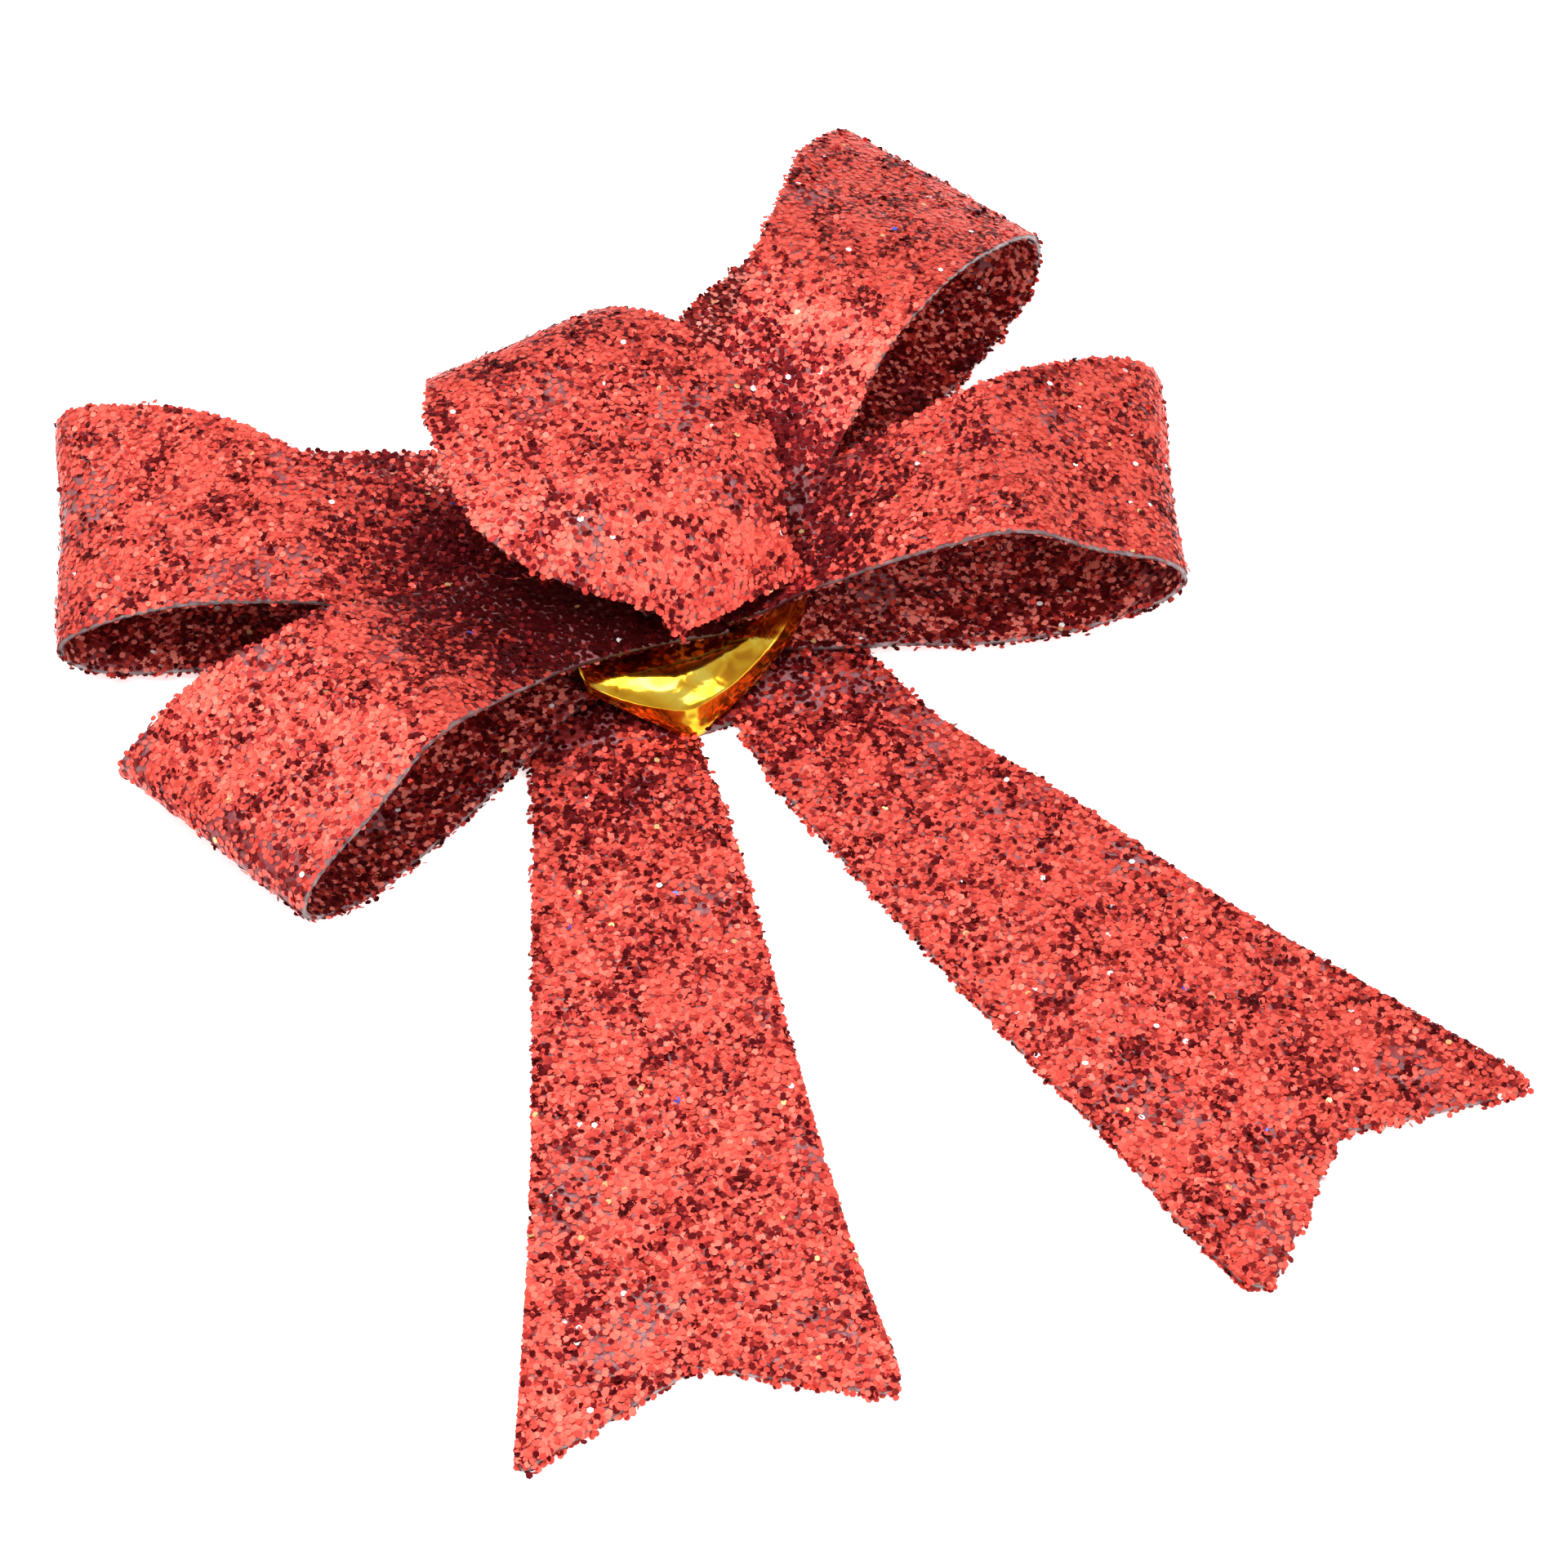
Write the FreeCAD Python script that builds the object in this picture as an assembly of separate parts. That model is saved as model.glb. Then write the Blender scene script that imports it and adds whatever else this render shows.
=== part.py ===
import FreeCAD, Part
import math
import os

# Ready-made gift bow of stiff glittered PVC ribbon, lying on its back.
# Frame: origin on the rest plane under the crossing of the two loop strips,
# tails towards -Y, +Z up. All sizes are in millimetres.

V = FreeCAD.Vector

# Ribbon
sheet_t = 0.6          # PVC ribbon with its glitter coat on both faces
film_t = 0.2           # gold metallised film of the tie
glue_t = 0.3           # hot-melt spot between two layers
edge_gap = 0.4         # free space where two cut ends face each other

# Loop strips
loop_width = 24.0      # width of the ribbon from fold to fold
end_width = 9.0        # width of the folded-back ends at the middle
end_flat = 9.0         # the folded-back ends lie flat this far out from the crossing
under_angle = -21.0    # direction of the under strip's right-hand loop, in degrees
over_angle = 29.0      # direction of the over strip's right-hand loop
loop_reach_ur = 53.0   # crossing to the fold of each loop
loop_reach_lr = 50.0
loop_reach_ul = 49.0
loop_reach_ll = 48.5
loop_rise_ur = 16.6    # top of each loop above the table
loop_rise_lr = 14.8
loop_rise_ul = 10.8
loop_rise_ll = 13.8
fold_rise_ur = 7.2     # outermost line of each fold above the table
fold_rise_lr = 7.2
fold_rise_ul = 5.4
fold_rise_ll = 6.2
fold_half = 2.4        # half height of the fold where it turns
fold_curl = 11.0       # length over which the base layer curls up to the fold
cross_clear = 3.4      # base layers stay flat this far beyond where the strips cross
droop_run = 5.0        # length over which they then sink to the table

# Tail piece
tail_reach = 88.4      # crossing to the inner tips, along Y
tail_spread = 43.0     # centre line to an outer tip
outer_tip_back = 6.8   # outer tips short of the inner tips, along Y
inner_tip_x = 14.4
notch_x = 26.7
notch_back = 8.4       # notches short of the inner tips
tip_radius = 1.0
crotch_y = 21.6        # crossing to the end of the slot between the tails
crotch_width = 3.4     # slot that the tie passes through
shoulder_x = 16.2      # half width of the tails where they leave the loops
shoulder_y = 19.0
waist_half = 8.5       # half width of the hidden upper end
waist_top = 9.0        # the hidden upper end, above the crossing

# Gold tie
tie_half = 10.5        # half width where it spreads over the waist
tie_back_half = 5.0    # half width at the far side
tie_rise = 4.8         # top of the tie above the table
tie_clear = 0.5        # tie to the edge of the slot and to the strips' far edges

# Knot petal
knot_width = 29.0
knot_neck = 14.0       # width of the near end
knot_base_width = 9.0  # width of the glued end
knot_far = 15.0        # crossing to the far bend
knot_near = 17.6       # crossing to the near end
knot_top = 18.0        # top of the petal above the table
knot_near_gap = 2.8    # near end above the folded-back ends

# Layers at the waist, from the table up
tie_back_z = 0.0
tail_z = tie_back_z + film_t + 0.05
under_z = tail_z + sheet_t + glue_t
over_z = under_z + sheet_t + glue_t
under_end_z = tie_rise + glue_t
over_end_z = under_end_z + sheet_t + glue_t
knot_base_z = over_end_z + sheet_t + glue_t
knot_near_rise = over_end_z + sheet_t + knot_near_gap
glue_radius = 3.4
glue_y = end_width / 3 - loop_width / 2  # middle of the spots on the folded-back ends
cross_turn = math.radians(over_angle - under_angle)
cross_reach = loop_width / 2 * (1 + math.cos(cross_turn)) / math.sin(cross_turn)
droop_start = cross_reach + cross_clear  # from here the base layers sink to the table
droop_end = droop_start + droop_run


def far_edge(angle):
    """Highest y of a strip's base layer above the tie's back run."""
    lean = math.radians(abs(angle))
    return loop_width / 2 / math.cos(lean) + tie_back_half * math.tan(lean)


tie_far = max(far_edge(under_angle), far_edge(over_angle)) + film_t + tie_clear
outer_tip_y = tail_reach - outer_tip_back
notch_y = tail_reach - notch_back
FAR = 300.0


def through(points):
    """A smooth edge through points."""
    curve = Part.BSplineCurve()
    curve.interpolate(points)
    return curve.toShape()


def slopes(at, value):
    """Slopes at the stations that make a curve without overshoot."""
    step = [at[i + 1] - at[i] for i in range(len(at) - 1)]
    rate = [(value[i + 1] - value[i]) / step[i] for i in range(len(step))]
    found = [rate[0]]
    for i in range(1, len(rate)):
        if rate[i - 1] * rate[i] <= 0:
            found.append(0.0)
        else:
            w1 = 2 * step[i] + step[i - 1]
            w2 = step[i] + 2 * step[i - 1]
            found.append((w1 + w2) / (w1 / rate[i - 1] + w2 / rate[i]))
    return found + [rate[-1]]


def smooth_path(stations, steps):
    """Points (a, b) along a smooth line through the stations, steps to each one."""
    at = [0.0]
    for i in range(1, len(stations)):
        at.append(at[-1] + math.dist(stations[i - 1], stations[i]))
    columns = [[s[0] for s in stations], [s[1] for s in stations]]
    turned = [slopes(at, column) for column in columns]
    path = []
    for i in range(len(stations) - 1):
        span = at[i + 1] - at[i]
        for k in range(steps + (i == len(stations) - 2)):
            t = k / steps
            h00 = (1 + 2 * t) * (1 - t) ** 2
            h10 = t * (1 - t) ** 2
            h01 = t * t * (3 - 2 * t)
            h11 = t * t * (t - 1)
            point = []
            for column, slope in zip(columns, turned):
                point.append(
                    h00 * column[i]
                    + h10 * span * slope[i]
                    + h01 * column[i + 1]
                    + h11 * span * slope[i + 1]
                )
            path.append(tuple(point))
    return path


def sides(path, thick):
    """The points of both faces of a ribbon with this middle line."""
    upper = []
    lower = []
    for i, here in enumerate(path):
        before = path[max(i - 1, 0)]
        after = path[min(i + 1, len(path) - 1)]
        da, db = after[0] - before[0], after[1] - before[1]
        length = math.hypot(da, db)
        na, nb = -db / length * thick / 2, da / length * thick / 2
        upper.append(V(here[0] + na, 0, here[1] + nb))
        lower.append(V(here[0] - na, 0, here[1] - nb))
    return upper, lower


def ribbon(path, first, last, thick):
    """One stretch of a ribbon, very wide along Y, from a run of its path's points."""
    upper, lower = sides(path, thick)
    upper, lower = upper[first : last + 1], lower[first : last + 1]
    edges = [
        through(upper),
        Part.makeLine(upper[-1], lower[-1]),
        through(lower),
        Part.makeLine(lower[0], upper[0]),
    ]
    face = Part.Face(Part.Wire(Part.__sortEdges__(edges)))
    face.translate(V(0, -FAR / 2, 0))
    return face.extrude(V(0, FAR, 0))


def lengthwise(shape):
    """Turns a shape drawn across X and Z so that its profile runs along Y."""
    shape.rotate(V(0, 0, 0), V(0, 0, 1), 90)
    return shape


def prism(points, z0=-FAR, z1=FAR):
    """A vertical prism over a polygon in plan."""
    loop = [V(x, y, z0) for x, y in points]
    return Part.Face(Part.makePolygon(loop + [loop[0]])).extrude(V(0, 0, z1 - z0))


def both_sides(points):
    """A polygon that is alike on both sides of the centre line, from its right half."""
    return points + [(-x, y) for x, y in reversed(points)]


def rounded(solid, radius, wanted):
    """Rounds the upright edges that wanted(x, y) picks."""
    edges = []
    for edge in solid.Edges:
        if edge.Length < 1e-3 or len(edge.Vertexes) < 2:
            continue
        a, b = edge.Vertexes[0].Point, edge.Vertexes[1].Point
        upright = abs(a.x - b.x) < 1e-4 and abs(a.y - b.y) < 1e-4
        if upright and wanted(a.x, a.y):
            edges.append(edge)
    return solid.makeFillet(radius, edges) if edges else solid


def arm(reach, rise, fold_rise, base_z, end_at, end_z):
    """Stations of one loop, from its folded-back end out to the fold and back to
    the crossing, as (distance from the crossing, height of the middle line)."""
    low = sheet_t / 2
    ez = end_z + sheet_t / 2
    bz = base_z + sheet_t / 2
    top = rise - sheet_t / 2
    up = top - ez
    over = fold_rise + fold_half
    below = fold_rise - fold_half
    # The base layer curls up once it has come down to the table.
    curl = min(fold_curl, reach - droop_end - 1.0)
    return [
        (end_at, ez),
        (end_flat - 3.0, ez),
        (end_flat, ez),
        (0.34 * reach, ez + 0.38 * up),
        (0.44 * reach, ez + 0.66 * up),
        (0.54 * reach, ez + 0.90 * up),
        (0.65 * reach, top),
        (0.77 * reach, over + 0.80 * (top - over)),
        (0.88 * reach, over + 0.40 * (top - over)),
        (reach - 0.8 * fold_half, over),
        (reach - 0.2 * fold_half, fold_rise + 0.5 * fold_half),
        (reach, fold_rise),
        (reach - 0.2 * fold_half, fold_rise - 0.5 * fold_half),
        (reach - 0.8 * fold_half, below),
        (reach - 0.5 * curl, low + 0.40 * (below - low)),
        (reach - 0.8 * curl, low + 0.08 * (below - low)),
        (reach - curl, low),
        (droop_end, low),
        (0.5 * (droop_start + droop_end), 0.5 * (low + bz)),
        (droop_start, bz),
        (droop_start - 2.0, bz),
    ]


def loop_strip(angle, base_z, reaches, rises, folds, ends):
    """A straight strip folded into a right-hand and a left-hand loop. reaches, rises,
    folds and ends give the right loop's value and then the left loop's."""
    turn = math.radians(angle)
    half = loop_width / 2
    overrun = 8.0
    loops = []
    for k in (0, 1):
        lean = turn if k == 0 else -turn
        # The folded-back end reaches the centre line on the tail side of the crossing.
        end_at = -half * math.sin(lean) - 1.5 if lean > 0 else 0.5
        loops.append(arm(reaches[k], rises[k], folds[k], base_z, end_at, ends[k]))
    stations = loops[0] + [(0.0, base_z + sheet_t / 2)]
    stations += [(-r, z) for r, z in reversed(loops[1])]
    steps = 6
    path = smooth_path(stations, steps)
    fold_r = max(range(len(path)), key=lambda i: path[i][0])
    fold_l = min(range(len(path)), key=lambda i: path[i][0])
    far = max(reaches) + overrun
    band = prism([(-far, -half), (far, -half), (far, half), (-far, half)])
    strip = ribbon(path, fold_r, fold_l, sheet_t).common(band)
    for k, (first, last) in enumerate(((0, fold_r), (fold_l, len(path) - 1))):
        sign = 1.0 if k == 0 else -1.0
        lean = turn if k == 0 else -turn
        # On the tail side the folded-back layer is straight; on the other it tapers
        # to the end width on the centre line.
        cx, sx = math.cos(lean), math.sin(lean)
        near_r = -half * sx / cx
        far_q = -half + end_width
        far_r = -(half - end_width) * sx / cx
        outline = [(near_r, -half), (far, -half), (far, half), (reaches[k], half), (far_r, far_q)]
        flap = ribbon(path, first, last, sheet_t).common(
            prism([(sign * r, q) for r, q in outline])
        )
        side = edge_gap / 2
        gap = prism([(-side, -FAR), (side, -FAR), (side, FAR), (-side, FAR)])
        gap.rotate(V(0, 0, 0), V(0, 0, 1), -angle)
        flap = flap.cut(gap)
        flap = max(flap.Solids, key=lambda s: s.Volume)
        strip = strip.fuse(flap)
    strip = strip.removeSplitter()
    strip.rotate(V(0, 0, 0), V(0, 0, 1), angle)
    return strip


def tail_piece():
    """The V blank: two widening tails with a swallow-tail cut at each end."""
    right = [
        (waist_half, waist_top),
        (shoulder_x, -shoulder_y),
        (tail_spread, -outer_tip_y),
        (notch_x, -notch_y),
        (inner_tip_x, -tail_reach),
        (crotch_width / 2, -crotch_y - 3.0),
        (crotch_width / 2, -crotch_y),
    ]
    low = sheet_t / 2
    high = tail_z + sheet_t / 2
    stations = [
        (waist_top + 2.0, high),
        (0.0, high),
        (-crotch_y - 3.0, high),
        (-crotch_y - 15.0, low),
        (-crotch_y - 25.0, low),
        (-tail_reach - 2.0, low),
    ]
    path = smooth_path(stations, 6)
    sheet = lengthwise(ribbon(path, 0, len(path) - 1, sheet_t))
    blank = sheet.common(prism(both_sides(right)))

    def at_tip(x, y):
        return y < -0.8 * outer_tip_y and abs(abs(x) - notch_x) > 1.0

    return rounded(blank, tip_radius, at_tip)


def ring(outside, thick):
    """A closed band of even thickness, very wide along Y, from its outer side."""
    count = len(outside)
    inside = []
    for i in range(count):
        before, here, after = outside[i - 1], outside[i], outside[(i + 1) % count]
        ax, az = here[0] - before[0], here[1] - before[1]
        bx, bz = after[0] - here[0], after[1] - here[1]
        la, lb = math.hypot(ax, az), math.hypot(bx, bz)
        nx, nz = -(az / la + bz / lb), ax / la + bx / lb
        ln = math.hypot(nx, nz)
        nx, nz = nx / ln, nz / ln
        spread = thick / max(0.5, (nx * -az / la + nz * ax / la))
        inside.append((here[0] + nx * spread, here[1] + nz * spread))

    def solid_of(points):
        loop = [V(a, -FAR / 2, b) for a, b in points]
        return Part.Face(Part.makePolygon(loop + [loop[0]])).extrude(V(0, FAR, 0))

    return solid_of(outside).cut(solid_of(inside))


def gold_tie():
    """The film band: up through the slot, over the base layers and round the back."""
    near = -crotch_y - film_t - tie_clear
    clear_z = over_z + sheet_t + film_t + 0.15
    outside = [
        (near + 0.3, 0.0),
        (tie_far - 0.4, 0.0),
        (tie_far, 0.5),
        (tie_far - 0.1, clear_z),
        (tie_far - 2.5, 0.4 * clear_z + 0.6 * tie_rise),
        (tie_far - 7.0, tie_rise),
        (7.6 - crotch_y, tie_rise),
        (4.1 - crotch_y, tie_rise - 0.3),
        (1.4 - crotch_y, tie_rise - 1.2),
        (near + 0.4, 1.8),
        (near, 0.4),
    ]
    neck = crotch_width / 2 - tie_clear
    half_plan = [
        (tie_back_half, FAR),
        (tie_back_half, tie_far - 6.0),
        (tie_half, 0.0),
        (tie_half, 8.6 - crotch_y),
        (neck, -crotch_y + 0.6),
        (neck, -FAR),
    ]
    return lengthwise(ring(outside, film_t)).common(prism(both_sides(half_plan)))


def knot_petal():
    """The curled petal: glued base, bend at the far side, crown, narrow near end."""
    base = knot_base_z + sheet_t / 2
    top = knot_top - sheet_t / 2
    near = knot_near_rise - sheet_t / 2
    bend = knot_far - sheet_t / 2
    stations = [
        (-12.5, base),
        (-6.0, base),
        (2.0, base),
        (bend - 6.0, base + 0.6),
        (bend - 1.6, base + 2.4),
        (bend, 0.5 * (base + top)),
        (bend - 2.2, top - 2.0),
        (bend - 7.0, top - 0.2),
        (2.0, top),
        (10.6 - knot_near, top - 2.3),
        (5.1 - knot_near, near + 3.7),
        (-knot_near, near),
    ]
    path = smooth_path(stations, 6)
    far_bend = max(range(len(path)), key=lambda i: path[i][0])
    petal = [
        (0.36 * knot_width, knot_far + 2.0),
        (0.44 * knot_width, knot_far - 5.5),
        (0.49 * knot_width, 5.0),
        (0.50 * knot_width, 1.0),
        (0.48 * knot_width, 12.6 - knot_near),
        (0.38 * knot_width, 7.1 - knot_near),
        (0.50 * knot_neck, 3.0 - knot_near),
        (0.50 * knot_neck, -FAR),
    ]
    stem = [
        (0.36 * knot_width, knot_far + 2.0),
        (0.36 * knot_width, knot_far - 3.0),
        (0.5 * knot_base_width, knot_far - 8.0),
        (0.5 * knot_base_width, -FAR),
    ]
    foot = lengthwise(ribbon(path, 0, far_bend, sheet_t)).common(prism(both_sides(stem)))
    crown = lengthwise(ribbon(path, far_bend, len(path) - 1, sheet_t)).common(
        prism(both_sides(petal))
    )
    return foot.fuse(crown).removeSplitter()


def glue_spot(x, y, z, radius, height):
    """A round hot-melt spot pressed flat between two layers."""
    return Part.makeCylinder(radius, height, V(x, y, z))


def single(shape, name):
    """The one solid of a shape."""
    solids = shape.Solids
    assert len(solids) == 1, name + " is in %d pieces" % len(solids)
    solid = solids[0]
    assert solid.isValid(), name + " isn't valid"
    return solid


pieces = {
    "tail_piece": tail_piece(),
    "under_loop_strip": loop_strip(
        under_angle,
        under_z,
        (loop_reach_lr, loop_reach_ul),
        (loop_rise_lr, loop_rise_ul),
        (fold_rise_lr, fold_rise_ul),
        (over_end_z, under_end_z),
    ),
    "over_loop_strip": loop_strip(
        over_angle,
        over_z,
        (loop_reach_ur, loop_reach_ll),
        (loop_rise_ur, loop_rise_ll),
        (fold_rise_ur, fold_rise_ll),
        (under_end_z, over_end_z),
    ),
    "knot_petal": knot_petal(),
    "gold_tie": gold_tie(),
    "glue_tail_to_strip": glue_spot(0, 0, tail_z + sheet_t, glue_radius, glue_t),
    "glue_strip_to_strip": glue_spot(0, 0, under_z + sheet_t, glue_radius, glue_t),
    "glue_under_tie": glue_spot(
        0, glue_y, over_z + sheet_t, glue_radius, tie_rise - film_t - over_z - sheet_t
    ),
    "glue_upper_loop_ends": glue_spot(0, glue_y, tie_rise, glue_radius, glue_t),
    "glue_lower_loop_ends": glue_spot(0, glue_y, under_end_z + sheet_t, glue_radius, glue_t),
    "glue_knot_base": glue_spot(0, glue_y, over_end_z + sheet_t, glue_radius, glue_t),
}

os.makedirs("parts", exist_ok=True)
for name, shape in pieces.items():
    single(shape, name).exportStep("parts/" + name + ".step")
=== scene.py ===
import math

import bpy
import numpy as np
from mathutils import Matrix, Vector


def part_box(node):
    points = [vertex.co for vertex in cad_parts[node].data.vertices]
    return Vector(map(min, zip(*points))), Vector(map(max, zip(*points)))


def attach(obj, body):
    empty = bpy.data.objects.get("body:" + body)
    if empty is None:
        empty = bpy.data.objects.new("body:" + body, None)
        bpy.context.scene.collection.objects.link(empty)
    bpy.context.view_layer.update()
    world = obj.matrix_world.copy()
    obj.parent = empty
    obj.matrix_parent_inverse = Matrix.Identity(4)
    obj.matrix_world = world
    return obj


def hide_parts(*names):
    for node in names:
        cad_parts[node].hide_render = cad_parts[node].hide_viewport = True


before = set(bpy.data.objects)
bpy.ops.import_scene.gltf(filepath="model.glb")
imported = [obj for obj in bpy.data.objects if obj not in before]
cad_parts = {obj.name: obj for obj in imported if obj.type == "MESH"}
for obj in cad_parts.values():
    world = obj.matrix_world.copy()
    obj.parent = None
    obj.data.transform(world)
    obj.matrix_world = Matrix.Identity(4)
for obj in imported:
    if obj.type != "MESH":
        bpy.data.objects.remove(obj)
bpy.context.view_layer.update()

rng = np.random.default_rng(20)
MM = 0.001

# Sizes, in millimetres
SHEET = 0.5            # PVC ribbon without its glitter
FILM = 0.08            # gold film
FLAKE = 0.292          # centre to corner of a hexagonal flake
PITCH = 0.385          # flake to flake in the first coat
STEP = 0.8             # grid of the ribbons' meshes
FINE_STEP = 0.4        # grid of the gold film across its band
DENT = 0.18            # depth of the dents in a ribbon
KNOT_DENT = 0.15
HALF_RIBBON = 0.3      # half of the CAD ribbon's thickness
HALF_FILM = 0.1        # half of the CAD film's thickness

# Middle heights of the layers at the waist, from the CAD frame
UNDER_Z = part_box("glue_strip_to_strip")[0].z / MM - HALF_RIBBON
OVER_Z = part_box("glue_strip_to_strip")[1].z / MM + HALF_RIBBON
TIE_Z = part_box("glue_upper_loop_ends")[0].z / MM - HALF_FILM
UPPER_END_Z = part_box("glue_upper_loop_ends")[1].z / MM + HALF_RIBBON
LOWER_END_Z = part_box("glue_lower_loop_ends")[1].z / MM + HALF_RIBBON
KNOT_BASE_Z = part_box("glue_knot_base")[1].z / MM + HALF_RIBBON


# ---------- curves and surfaces ----------
def smooth(rows, step):
    """A smooth line through rows of numbers; the spacing goes by all their columns."""
    k = np.array(rows, float)
    p = np.vstack([2 * k[0] - k[1], k, 2 * k[-1] - k[-2]])
    gap = np.linalg.norm(np.diff(p, axis=0), axis=1) ** 0.5 + 1e-9
    t = np.concatenate([[0], np.cumsum(gap)])
    out = []
    for i in range(1, len(p) - 2):
        n = max(2, int(round(gap[i] ** 2 / step)))
        u = np.linspace(t[i], t[i + 1], n, endpoint=False)[:, None]
        a1 = ((t[i] - u) * p[i - 1] + (u - t[i - 1]) * p[i]) / (t[i] - t[i - 1])
        a2 = ((t[i + 1] - u) * p[i] + (u - t[i]) * p[i + 1]) / (t[i + 1] - t[i])
        a3 = ((t[i + 2] - u) * p[i + 1] + (u - t[i + 1]) * p[i + 2]) / (t[i + 2] - t[i + 1])
        b1 = ((t[i + 1] - u) * a1 + (u - t[i - 1]) * a2) / (t[i + 1] - t[i - 1])
        b2 = ((t[i + 2] - u) * a2 + (u - t[i]) * a3) / (t[i + 2] - t[i])
        out.append(((t[i + 1] - u) * b1 + (u - t[i]) * b2) / (t[i + 1] - t[i]))
    return np.vstack(out + [k[-1:]])


def resample(line, n):
    """n points evenly along a polyline."""
    at = np.concatenate([[0], np.cumsum(np.linalg.norm(np.diff(line, axis=0), axis=1))])
    s = np.linspace(0, at[-1], n)
    return np.stack([np.interp(s, at, line[:, c]) for c in range(line.shape[1])], 1)


class Field:
    """A smooth random field over space, about -1 to 1, made of plane waves."""

    def __init__(self, size, seed, waves=28):
        r = np.random.default_rng(seed)
        d = r.normal(size=(waves, 3))
        d /= np.linalg.norm(d, axis=1)[:, None]
        self.k = d * (2 * math.pi / (size * r.uniform(0.7, 1.6, (waves, 1))))
        self.phase = r.uniform(0, 2 * math.pi, waves)

    def __call__(self, p):
        return np.cos(p @ self.k.T + self.phase).sum(-1) / (0.5 * len(self.k)) ** 0.5 / 1.6


class Loop:
    """The frame of one loop: r along its band from the waist, q across it, z up."""

    def __init__(self, angle, shift):
        a = math.radians(angle)
        self.u = np.array([math.cos(a), math.sin(a), 0.0])
        self.n = np.array([-math.sin(a), math.cos(a), 0.0])
        self.o = np.array([0.0, shift, 0.0])

    def rows(self, table):
        """near r, q, z and far r, q, z of each station, as points side by side."""
        out = []
        for nr, nq, nz, fr, fq, fz in table:
            near = self.o + self.u * nr + self.n * nq + [0, 0, nz]
            far = self.o + self.u * fr + self.n * fq + [0, 0, fz]
            out.append(np.concatenate([near, far]))
        return out


def ruled(rows, width_steps, domed=False):
    """A surface between two edge lines. A domed one has its rows' bow as a seventh column."""
    line = smooth(rows, STEP)
    w = np.linspace(0, 1, width_steps + 1)[None, :, None]
    grid = line[:, None, 0:3] * (1 - w) + line[:, None, 3:6] * w
    if domed:
        grid[:, :, 2] += line[:, 6:7] * (1 - (2 * w[:, :, 0] - 1) ** 2)
    return grid


def coons(a, b, start, end, n, m):
    """A patch from its four sides: a and b lengthwise, start and end across."""
    a, b = resample(a, n), resample(b, n)
    start, end = resample(start, m), resample(end, m)
    s = np.linspace(0, 1, n)[:, None, None]
    w = np.linspace(0, 1, m)[None, :, None]
    ruled_w = a[:, None] * (1 - w) + b[:, None] * w
    ruled_s = start[None] * (1 - s) + end[None] * s
    corners = (a[0] * (1 - s) + a[-1] * s) * (1 - w) + (b[0] * (1 - s) + b[-1] * s) * w
    return ruled_w + ruled_s - corners


def normals(grid):
    """Unit normals at the points of a grid."""
    ds = np.gradient(grid, axis=0)
    dw = np.gradient(grid, axis=1)
    n = np.cross(ds, dw)
    return n / (np.linalg.norm(n, axis=2, keepdims=True) + 1e-12)


WAVE = Field(14.0, 3)


def wavy(grid, height=DENT):
    """Slight dents of a thin sheet."""
    return grid + normals(grid) * (height * WAVE(grid))[..., None]


# ---------- meshes ----------
def mesh_object(name, verts, faces, materials, slots=None):
    """A smooth-shaded object; slots gives each face its material."""
    me = bpy.data.meshes.new(name)
    me.from_pydata(verts.tolist(), [], faces)
    for m in materials:
        me.materials.append(m)
    if slots is not None:
        me.polygons.foreach_set("material_index", np.asarray(slots, np.int32))
    me.polygons.foreach_set("use_smooth", np.full(len(faces), True))
    me.update()
    ob = bpy.data.objects.new(name, me)
    bpy.context.scene.collection.objects.link(ob)
    return ob


def thick_grid(grid, thick):
    """Vertices and faces of a sheet of that thickness; walls flagged 1."""
    n, m, _ = grid.shape
    nn = normals(grid)
    upper, lower = grid + nn * thick / 2, grid - nn * thick / 2
    verts = np.concatenate([upper.reshape(-1, 3), lower.reshape(-1, 3)])
    idx = np.arange(n * m).reshape(n, m)
    low = n * m
    a, b, c, d = idx[:-1, :-1], idx[1:, :-1], idx[1:, 1:], idx[:-1, 1:]
    top = np.stack([a, b, c, d], -1).reshape(-1, 4)
    bottom = np.stack([a, d, c, b], -1).reshape(-1, 4) + low
    rim = np.concatenate([idx[0, :-1], idx[:-1, -1], idx[-1, :0:-1], idx[:0:-1, 0]])
    after = np.roll(rim, -1)
    walls = np.stack([rim, after, after + low, rim + low], -1)
    faces = np.concatenate([top, bottom, walls])
    flags = np.concatenate([np.zeros(len(top) + len(bottom), int), np.ones(len(walls), int)])
    return verts, faces, flags


def sheet_object(name, grids, thick, materials):
    """One object of one or more sheet patches."""
    verts, faces, flags, base = [], [], [], 0
    for grid in grids:
        v, f, k = thick_grid(grid, thick)
        verts.append(v)
        faces.append(f + base)
        flags.append(k)
        base += len(v)
    return mesh_object(
        name,
        np.concatenate(verts) * MM,
        np.concatenate(faces).tolist(),
        materials,
        np.concatenate(flags),
    )


def at_grid(values, s, w):
    """Values of a grid at places given as shares of its length and width."""
    n, m = values.shape[:2]
    x = np.clip(s, 0, 1) * (n - 1)
    y = np.clip(w, 0, 1) * (m - 1)
    i = np.minimum(x.astype(int), n - 2)
    j = np.minimum(y.astype(int), m - 2)
    fx, fy = (x - i)[:, None], (y - j)[:, None]
    return (
        values[i, j] * (1 - fx) * (1 - fy)
        + values[i + 1, j] * fx * (1 - fy)
        + values[i, j + 1] * (1 - fx) * fy
        + values[i + 1, j + 1] * fx * fy
    )


# ---------- glitter ----------
CLUMP = Field(5.0, 11)  # where flakes lie in rough clusters, painted darker as shade
FINE = Field(1.7, 12)   # small changes within the clusters
PATCH = Field(9.0, 13)  # where the coat is thin

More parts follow.
